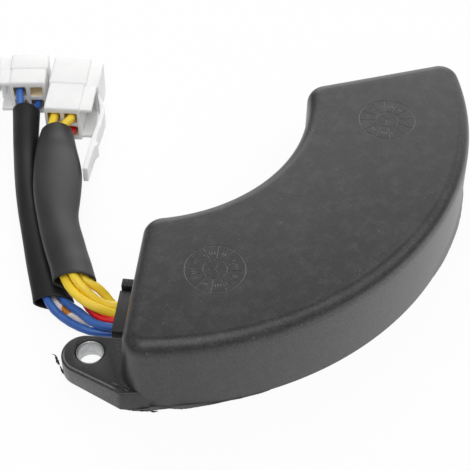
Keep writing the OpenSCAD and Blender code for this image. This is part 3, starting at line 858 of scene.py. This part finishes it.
def shell():
    """Drafted walls with a rounded top edge, open below and hollow."""
    n_arc, n_corner = 120, 16
    points, outward = outline(n_arc, n_corner)

    def ring(inset, z):
        flat = points - inset * outward
        return [(p[0], p[1] + ARC_Y, z) for p in flat]

    def rounding(base, inset, r, a):
        a = math.radians(a)
        return ring(inset + r * (1 - math.cos(a)), base + r * math.sin(a))

    side = HEIGHT - WALL - INSIDE_R
    rings = [rounding(side, WALL + DRAFT * side, INSIDE_R, a) for a in (90, 60, 30, 0)]
    rings += [ring(WALL, 0), ring(FOOT_EDGE, 0), ring(0, FOOT_EDGE)]
    base = HEIGHT - TOP_ROUND
    for z in np.linspace(2.0, base, 7)[:-1]:
        rings.append(ring(DRAFT * z, z))
    for k in range(ROUND_STEPS + 1):
        rings.append(rounding(base, DRAFT * base, TOP_ROUND, 90 * k / ROUND_STEPS))
    return solid("shell", rings, 35, first=2 * n_arc + 3 * n_corner)


DIAL_ANGLE = 34.3
DIAL_R = 55
DIAL_RINGS = ((6.7, 0.22), (2.7, 0.2))
DIAL_SPOKES = 12
HUB_SPOKES = 3
GROOVE = -0.09
MARK = -0.06
CUT_TOP = 0.2


def dial_cutters(side):
    """Grooves of one date dial: two rings, spokes, marks and a three-armed hub, no figures."""
    place = (Matrix.Translation((0, ARC_Y * MM, HEIGHT * MM)) @ turned(side * DIAL_ANGLE)
             @ Matrix.Translation((0, -DIAL_R * MM, 0)))
    cutters = []

    def bar(r0, r1, half, depth, degrees):
        cutter = box("cut", (r0, -half, depth), (r1, half, CUT_TOP))
        cutter.data.transform(turned(degrees))
        cutters.append(cutter)

    for r, width in DIAL_RINGS:
        section = ((r, GROOVE), (r, CUT_TOP), (r - width, CUT_TOP), (r - width, GROOVE))
        rings = [[(*polar(rr, 360 * k / 96), z) for k in range(96)] for rr, z in section]
        cutters.append(solid("cut", rings, closed=True))
    step = 360 // DIAL_SPOKES
    for k in range(DIAL_SPOKES):
        bar(2.7, 6.6, 0.09, GROOVE, step * k + 8)
        for j in range(1 + k % 3):
            bar(4.2, 5.1, 0.12, MARK, step * k + 16 + 7 * j)
    for k in range(HUB_SPOKES):
        bar(0.1, 1.9, 0.1, GROOVE, 360 // HUB_SPOKES * k + 52)
    for cutter in cutters:
        cutter.data.transform(place)
    return cutters


def ear_line():
    """Outline of the ear in the frame of the end wall, and its front edge by itself."""
    centre = np.array([HOLE_ALONG + TIP_SHIFT[0], -HOLE_OFFSET - TIP_SHIFT[1]])
    tip_steps, root_steps = 48, 12
    front_from, front_steps = 22, 12

    def root_at(i):
        y = ROOT_DEPTH * i / root_steps
        r = OUTER_R + ROOT_PROUD - ROOT_FADE * i / root_steps
        return np.array([math.sqrt(r ** 2 - (SETBACK + y) ** 2), y])

    reach = np.array([root_at(0)[0] - centre[0], -centre[1]])
    turn = math.degrees(math.atan2(reach[1], reach[0])
                        - math.acos(EAR_R / np.linalg.norm(reach)))
    tip = [centre + polar(EAR_R, 180 + (180 + turn) * k / tip_steps)
           for k in range(tip_steps + 1)]
    inner = math.sqrt((OUTER_R - 0.5 * WALL) ** 2 - (SETBACK + ROOT_DEPTH) ** 2)
    line = [np.array([centre[0] - EAR_R, 0.7 * WALL])] + tip
    line += [root_at(i) for i in range(root_steps + 1)]
    line += [np.array([inner, ROOT_DEPTH]), np.array([inner - 0.3 * WALL, 0.7 * WALL])]
    front = tip[front_from:] + [tip[-1] + (root_at(0) - tip[-1]) * k / front_steps
                                for k in range(1, front_steps + 1)]
    return line, front


RIDGE = ((0, -0.5), (0.12, 0.55), (0.4, 1.0), (0.62, 1.0), (0.86, 0.6), (1, -0.5))


def ridge(path, inset, width, height, fade):
    """A thin raised line that follows a path at a distance, fading at both ends."""
    rings = []
    n = len(path)
    line = np.array([(*p, 0.0) for p in path])
    for i, p in enumerate(path):
        along = heading(line, i)[:2]
        inward = np.array([-along[1], along[0]])
        grow = min(1.0, (i + 0.3) / fade[0], (n - 1 - i + 0.3) / fade[1])
        ring = []
        for across, up in RIDGE:
            q = p + inward * (inset + width * across)
            ring.append((q[0], q[1], EAR_T + height * up * (grow if up > 0 else 1.0)))
        rings.append(ring)
    return solid("ridge", rings, 60)


# How far the foot of the ear's front edge stands out, by its distance into the body
FLARE_AT = (-10.5, -7.0, -3.0, 0.0, 3.0, ROOT_DEPTH)
FLARE = (0, 0.3, 0.45, 0.6, 0.7, 0.6)
DROOP = 0.1
DROOP_START = 10


def ear(lips):
    """Slab of an ear, with the worn lips of its front edge or with a drooping tip."""
    line, front = ear_line()
    centre = np.array([HOLE_ALONG, -HOLE_OFFSET])
    hole = [centre + polar(BUSH_R, -360 * k / 72) for k in range(72)]
    slab = plate("ear", line, 0, EAR_T, 0.3, [hole], 4)
    for v in slab.data.vertices:
        x, y = v.co.x / MM, v.co.y / MM
        r = math.hypot(x, y + SETBACK)
        if x > HOLE_ALONG + 2 and (r > OUTER_R - 1.5 or y < 0):
            far = np.interp(y, FLARE_AT, FLARE) * max(0.0, 1 - v.co.z / MM / EAR_T) * MM
            v.co.x += far * x / r
            v.co.y += far * (y + SETBACK) / r if y > 0 else -0.3 * far
    if not lips:
        for v in slab.data.vertices:
            v.co.z -= DROOP * max(0.0, -v.co.y - DROOP_START * MM) * v.co.z / EAR_T / MM
        return [slab]
    lip = ridge(front, 0.3, 0.55, 0.34, (10, 2.5))
    last_step = front[-1] - front[-2]
    run_on = [front[-1] + last_step * k for k in (0.6, 1.2)]
    second = ridge(front[-4:] + run_on, 1.35, 0.45, 0.28, (1.5, 2))
    return [slab, lip, second]


FILLET_R = 1.3
FILLET_END = 69.4
FILLET_STEPS = 12
FILLET_CORNER = 16
FILLET_FADE = 12


def ear_fillet():
    """Hollow rounding where the ear meets the end wall and the upright edge."""
    n_arc, n_corner = 160, 24
    points, outward = outline(n_arc, n_corner)
    start = 2 * n_arc + 3 * n_corner
    n = len(points)
    path = [end_point(along, 0, 0)[:2] - np.array([0, ARC_Y])
            for along in np.linspace(HOLE_ALONG - EAR_R + 1.2, FILLET_END, FILLET_STEPS)]
    ways = [OUT] * FILLET_STEPS
    for k in range(FILLET_CORNER):
        path.append(points[(start + k) % n])
        ways.append(outward[(start + k) % n])
    rings = []
    for i, (p, w) in enumerate(zip(path, ways)):
        grow = FILLET_R * min(1.0, max(0.0, (len(path) - 1 - i) / FILLET_FADE)) + 0.02
        section = []
        for a in np.linspace(0, 90, 9):
            s, c = math.sin(math.radians(a)), math.cos(math.radians(a))
            z = EAR_T + grow * (1 - c)
            section.append((grow * (1 - s) - DRAFT * z, z))
        section += [(-0.6, EAR_T + grow), (-0.6, EAR_T - 0.3), (grow, EAR_T - 0.3)]
        rings.append([(p[0] + off * w[0], p[1] + off * w[1] + ARC_Y, z) for off, z in section])
    return solid("fillet", rings, 60)


# Flash along the foot of the outer wall: angles, and how far it stands out
LEFT_FLASH = [(-53.6, 0.4), (-53, 0.62), (-52, 0.78), (-51, 0.88), (-50, 0.9), (-49, 0.86),
              (-48, 0.58), (-47, 0.42), (-46, 0.3), (-45, 0.5), (-44, 0.7), (-42.6, 0.62),
              (-41, 0.48), (-39.2, 0.38), (-37.6, 0.25), (-35.9, 0.12), (-34.2, 0.2),
              (-32.5, 0.1), (-30.9, 0.16), (-29, 0.0)]
RIGHT_FLASH = [(10, 0.0), (14, 0.22), (17, 0.28), (20, 0.34), (23, 0.46), (26, 0.5), (29, 0.42),
               (32, 0.45), (35, 0.3), (38, 0.35), (41, 0.3), (44, 0.18), (47, 0.1), (50, 0.0)]
LEFT_FLASH_HEIGHT = 0.32
RIGHT_FLASH_HEIGHT = 2.0
FLASH_ROOT = -1.2

# Torn slivers: points, width and thickness
CRUMBS = [
    ([(-60.1, 25.3, 0.7), (-60.47, 24.69, 0.6), (-61.03, 23.65, 0.5), (-61.3, 22.8, 0.45)],
     0.75, 0.5),
    ([(-60.53, 26.07, 0.9), (-60.31, 25.51, 0.85), (-60.4, 24.9, 0.7)], 0.16, 0.14),
    ([(-61.35, 22.6, 0.4), (-62.0, 21.41, 0.4), (-62.4, 20.4, 0.35)], 0.42, 0.5),
    ([(-62.5, 17.0, 0.25), (-62.55, 16.0, 0.25), (-62.3, 15.1, 0.25)], 0.4, 0.3),
    ([(-61.95, 13.4, 0.35), (-61.8, 12.3, 0.35), (-61.55, 11.3, 0.3)], 0.5, 0.5),
    ([(-58.75, 1.4, 0.2), (-58.35, 0.9, 0.22), (-57.85, 0.5, 0.2)], 0.32, 0.22),
    ([(-57.3, -0.5, 0.15), (-56.8, -1.1, 0.15), (-56.1, -1.65, 0.14)], 0.4, 0.2),
]
CRUMB_POINTS = 14
CRUMB_SIDES = 6


def flash_skirt(proud, height):
    """Thin uneven flash along the foot of the outer wall, four steps to a degree."""
    angles, reach = zip(*proud)
    line, stands = [], []
    for a in np.linspace(angles[0], angles[-1], int((angles[-1] - angles[0]) * 4)):
        stands.append(np.interp(a, angles, reach) * (0.9 + 0.16 * RNG.random()))
        line.append((*(polar(OUTER_R, a - 90) + np.array([0, ARC_Y])), 0.0))
    line = np.array(line)
    rings = []
    for i, r in enumerate(stands):
        away = to_right(heading(line, i))
        section = ((FLASH_ROOT, 0.0), (r, 0.0), (r - 0.02, 0.4 * height), (0.3 * r, height),
                   (-0.1, 1.6 * height), (FLASH_ROOT, 1.6 * height))
        rings.append([line[i] + away * out + np.array([0, 0, z]) for out, z in section])
    return solid("skirt", rings, 40)


def crumb(spine, width, thick):
    """A torn sliver of flash along a few points."""
    line = smooth_line(spine, CRUMB_POINTS)
    rings = []
    for i, p in enumerate(line):
        t = i / (len(line) - 1)
        swell = math.sin(math.pi * min(0.97, max(0.05, t))) ** 0.6 * (0.75 + 0.5 * RNG.random())
        side = to_right(heading(line, i))
        ring = []
        for k in range(CRUMB_SIDES):
            a = math.pi * 2 * k / CRUMB_SIDES
            ring.append(p + side * width * swell * math.sin(a) * 0.5
                        + np.array([0, 0, 1]) * thick * swell * math.cos(a) * 0.5)
        rings.append(ring)
    return solid("crumb", rings, 60)


def add_housing():
    """Shell with the outlet's notch and the dials, both ears, their fillets and the flash."""
    body = shell()
    notch = box("cut", (OUTLET_START, -0.6, -0.5), (OUTLET_END, WALL + 0.6, OUTLET_TOP))
    notch.data.transform(left_end())
    combine(body, [notch] + dial_cutters(-1) + dial_cutters(1), "DIFFERENCE")
    pieces = [body]
    for on_right in (False, True):
        parts = ear(lips=not on_right)
        for piece in parts:
            piece.data.transform(left_end())
        parts.append(ear_fillet())
        if on_right:
            for piece in parts:
                mirror(piece)
        pieces += parts
    pieces += [flash_skirt(LEFT_FLASH, LEFT_FLASH_HEIGHT),
               flash_skirt(RIGHT_FLASH, RIGHT_FLASH_HEIGHT)]
    whole = join("housing_moulding", pieces, 32)
    dress(whole, "housing_plastic")
    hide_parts("housing")


def add_flash():
    """Torn slivers of flash at the foot of the front ear, in a darker copy of the housing's
    plastic: painted shade.
    """
    whole = join("mould_flash", [crumb(*row) for row in CRUMBS], 60)
    # Darker than the housing's plastic: painted shade on the slivers
    dress(whole, "housing_plastic",
          plain_material("flash_painted_shade", (0.008, 0.008, 0.008), 0.5, 0.3, 900.0))


add_housing()
add_flash()


BUSH_LIP = BUSH_R - 0.24
BUSH_PROFILE = [
    (BUSH_BORE + 0.12, 0.0), (BUSH_R - 0.05, 0.0), (BUSH_R, 0.05), (BUSH_R, BUSH_TOP - 1.0),
    (BUSH_LIP + 0.02, BUSH_TOP - 0.85), (BUSH_LIP, BUSH_TOP - 0.2),
    (BUSH_LIP - 0.05, BUSH_TOP - 0.06), (BUSH_LIP - 0.14, BUSH_TOP),
    (BUSH_LIP - 0.22, BUSH_TOP - 0.03), (BUSH_BORE + 0.03, BUSH_TOP - 0.14),
    (BUSH_BORE, BUSH_TOP - 0.3), (BUSH_BORE, 0.12)]
BUSH_SIDES = 96


def add_bushes():
    """Turned steel bushes with a rounded outer rim, pressed into the ears."""
    pieces = []
    place = end_point(HOLE_ALONG, HOLE_OFFSET, 0)[:2]
    for on_right in (False, True):
        rings = [[(*(place + polar(r, 360 * k / BUSH_SIDES)), z) for r, z in BUSH_PROFILE]
                 for k in range(BUSH_SIDES)]
        bush = solid("bush", rings, 40, closed=True)
        if on_right:
            mirror(bush)
        pieces.append(bush)
    whole = join("turned_bushes", pieces, 40)
    dress(whole, "bush_steel")
    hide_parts("mounting_bushes")


add_bushes()


TAB_RIBS = 5
RIB_PITCH = 0.8
RIB_WIDTH = 0.4


def add_guide():
    """Roof, legs and ribbed tab of the wire outlet."""
    s, e, w = OUTLET_START, OUTLET_END, OUTLET_WALL
    r, t = OUTLET_REACH, OUTLET_TOP
    tab = s - BRIDGE_WIDTH - TAB_WIDTH
    whole = box("roof", (s, -r, t - w), (e, WALL, t), 0.2, 3)
    pieces = [box("leg", (s, -r, 0), (s + w, WALL, t - 0.3), 0.15),
              box("leg", (e - w, -r, 0), (e, WALL, t - 0.3), 0.15),
              box("bridge", (s - BRIDGE_WIDTH - 0.3, -TAB_REACH + 0.3, 0),
                  (s + 0.3, 0.1, BRIDGE_TOP), 0.1),
              box("tab", (tab, -TAB_REACH, 0), (tab + TAB_WIDTH, 0.1, TAB_TOP - 0.12), 0.15)]
    for k in range(TAB_RIBS):
        y = -TAB_REACH + 0.25 + RIB_PITCH * k
        pieces.append(box("rib", (tab + 0.1, y, TAB_TOP - 0.7),
                          (tab + TAB_WIDTH - 0.1, y + RIB_WIDTH, TAB_TOP), 0.08))
    combine(whole, pieces, "UNION")
    whole = join("outlet_guide", [whole], 40)
    whole.data.transform(left_end())
    dress(whole, "guide_plastic")
    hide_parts("wire_guide")


add_guide()


# Solids that show as they are

for part in frame["record"]["subparts"]:
    node = NODE[part["node"]]
    if not node.hide_render:
        node.data.materials.clear()
        node.data.materials.append(MAT[part["material_slot"]])
        finish_shading(node.data, 30)


# Floor, light and view

FLOOR_HALF = 0.22
FLOOR_DROP = 0.0002
FLOOR_WHITE = 0.92
WORLD_BASE = 0.2

# Parts of the world's light: direction, its cosines where it starts and is full, strength
WORLD_AREAS = [
    ((0, 0, 1), 0.1, 0.42, 0.26),
    ((0.68, 0.6, 0.42), 0.84, 1.0, 1.5),
    ((0.93, 0.33, 0.1), 0.6, 0.95, 0.75),
    ((-0.26, -0.22, 0.94), 0.86, 0.985, 2.3),
    ((0.45, -0.45, 0.77), 0.9, 0.99, 1.4),
]


def add_floor():
    """White floor that keeps a faint shadow and is white to gloss and clear parts too."""
    mesh = bpy.data.meshes.new("floor")
    h = FLOOR_HALF
    mesh.from_pydata([(-h, -h, 0), (h, -h, 0), (h, h, 0), (-h, h, 0)], [], [(0, 1, 2, 3)])
    floor = link(bpy.data.objects.new("floor", mesh))
    n = material_nodes("floor_white")
    path = n.add("ShaderNodeLightPath").outputs
    seen = n.math("MAXIMUM", path["Is Camera Ray"], path["Is Glossy Ray"])
    seen = n.math("MAXIMUM", seen, path["Is Transmission Ray"])
    matt = n.put(n.add("ShaderNodeBsdfDiffuse"), Color=(0.9, 0.9, 0.9, 1.0))
    glow = n.put(n.add("ShaderNodeEmission"), Color=(1.0, 1.0, 1.0, 1.0), Strength=1.0)
    floor.data.materials.append(n.mix(n.times(seen, FLOOR_WHITE), matt, glow))
    floor.location.z = -FLOOR_DROP


def add_world():
    """Soft studio: pale above a dim horizon, with lights at the back right, right and above."""
    world = bpy.data.worlds.new("studio")
    SCENE.world = world
    n = Nodes(world, "ShaderNodeOutputWorld", "Generated")
    strength = WORLD_BASE
    for toward, low, high, amount in WORLD_AREAS:
        facing = n.vector_math("DOT_PRODUCT", n.coord, Vector(toward).normalized(), "Value")
        strength = n.math("ADD", n.between(facing, low, high, 0.0, amount), strength)
    lit = n.put(n.add("ShaderNodeBackground"), Color=(1, 1, 1, 1), Strength=strength)
    seen = n.put(n.add("ShaderNodeBackground"), Color=(1, 1, 1, 1))
    n.mix(n.add("ShaderNodeLightPath").outputs["Is Camera Ray"], lit, seen)


add_floor()
add_world()

SCENE.view_settings.view_transform = "Standard"
